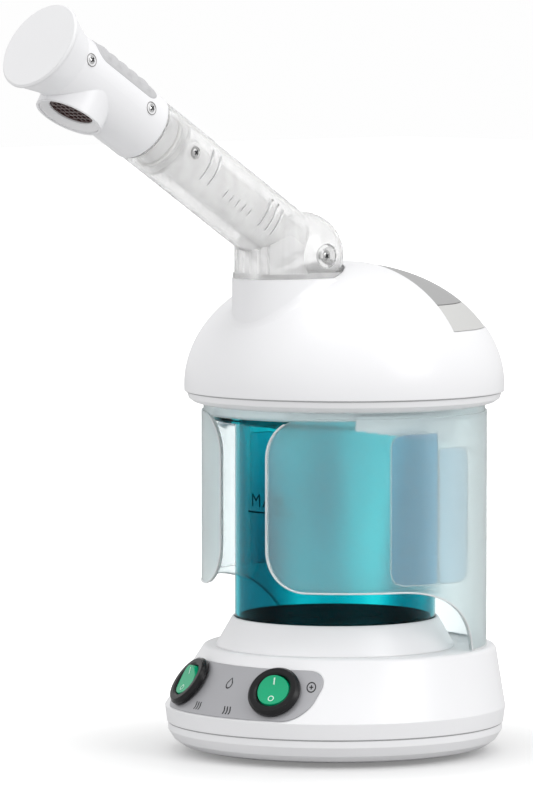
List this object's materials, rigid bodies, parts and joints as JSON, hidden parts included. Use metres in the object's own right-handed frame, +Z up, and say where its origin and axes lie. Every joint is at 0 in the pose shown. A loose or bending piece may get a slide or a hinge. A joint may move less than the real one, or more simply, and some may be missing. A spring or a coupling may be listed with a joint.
{
  "type": "facial steamer",
  "caption": "Table-top facial steamer: round base with two switches, tinted water tank, domed lift-off hood with side guards, and a tilting clear arm with a turning nozzle head.",
  "frame": {"origin": "on the table, under the centre of the water tank", "axes": "+Z up; the arm, the gap in the guard and the switches face -Y, the front; +X is the right side seen from the front"},
  "size_m": [0.203, 0.3574, 0.4442],
  "materials": {
    "white_gloss": "moulded gloss white",
    "grey_gloss": "moulded light grey",
    "soft_grey": "satin elastomer",
    "panel_silver": "satin silver print",
    "black_gloss": "moulded gloss black",
    "switch_green": "translucent green",
    "tank_teal": "tinted clear plastic",
    "frosted": "frosted clear plastic",
    "clear": "clear plastic",
    "rubber_black": "matte",
    "seal_silicone": "silicone",
    "steel": "plated",
    "heater_dark": "non-stick coat",
    "board_green": "lacquered board",
    "black_matte": "moulded matte",
    "nozzle_dark": "dark red brown"
  },
  "bodies": {
    "base": {"base_pan": "white_gloss", "base_shell": "white_gloss", "rubber_feet": "rubber_black", "base_screws": "steel", "tank_collar": "white_gloss", "control_panel": "panel_silver", "switch_housing_left": "black_gloss", "switch_housing_right": "black_gloss", "switch_terminals": "steel", "circuit_board": "board_green", "ion_module": "black_matte", "terminal_block": "black_matte", "board_posts": "white_gloss", "cord_gland": "rubber_black", "tank": "tank_teal", "heater_plate": "heater_dark", "heating_element": "steel", "thermostat": "steel", "heater_gasket": "seal_silicone"},
    "rocker_left": {"rocker_left": "switch_green"},
    "rocker_right": {"rocker_right": "switch_green"},
    "hood": {"dome_shell": "white_gloss", "dome_rim": "white_gloss", "neck_ring": "white_gloss", "hood_seal": "seal_silicone", "guard": "frosted", "rear_inlay": "soft_grey", "rear_inlay_tail": "grey_gloss", "steam_baffle": "white_gloss", "steam_duct": "white_gloss", "hood_screws": "steel", "elbow_cradle": "clear", "pivot_pins": "steel"},
    "arm": {"arm_housing_left": "clear", "arm_housing_right": "clear", "arm_steam_tube": "frosted", "arm_bush": "frosted", "arm_screws": "steel"},
    "sleeve": {"inner_sleeve": "frosted", "sleeve_seal": "seal_silicone"},
    "head": {"head_shell_left": "white_gloss", "head_shell_right": "white_gloss", "end_disc": "grey_gloss", "grip_pad": "soft_grey", "nozzle_ring": "grey_gloss", "nozzle_grid": "nozzle_dark", "head_screws": "steel", "head_retainer": "black_matte"}
  },
  "joints": [
    {"name": "hood_lift", "type": "slide", "parent": "base", "child": "hood", "axis": [0, 0, 1], "range_m": [0, 0.15]},
    {"name": "arm_tilt", "type": "hinge", "parent": "hood", "child": "arm", "pos_m": [0, -0.0291, 0.296], "axis": [-1, 0, 0], "range_deg": [0, 35]},
    {"name": "arm_extend", "type": "slide", "parent": "arm", "child": "sleeve", "axis": [0, -0.8526, 0.5225], "range_m": [0, 0.02]},
    {"name": "nozzle_spin", "type": "hinge", "parent": "sleeve", "child": "head", "pos_m": [0, -0.0291, 0.296], "axis": [0, -0.8526, 0.5225], "continuous": true},
    {"name": "left_switch", "type": "hinge", "parent": "base", "child": "rocker_left", "pos_m": [-0.03622, -0.08457, 0.04412], "axis": [0.9277, -0.3733, 0], "range_deg": [-16, 0]},
    {"name": "right_switch", "type": "hinge", "parent": "base", "child": "rocker_right", "pos_m": [0.03622, -0.08457, 0.04412], "axis": [0.9277, 0.3733, 0], "range_deg": [-16, 0]}
  ]
}
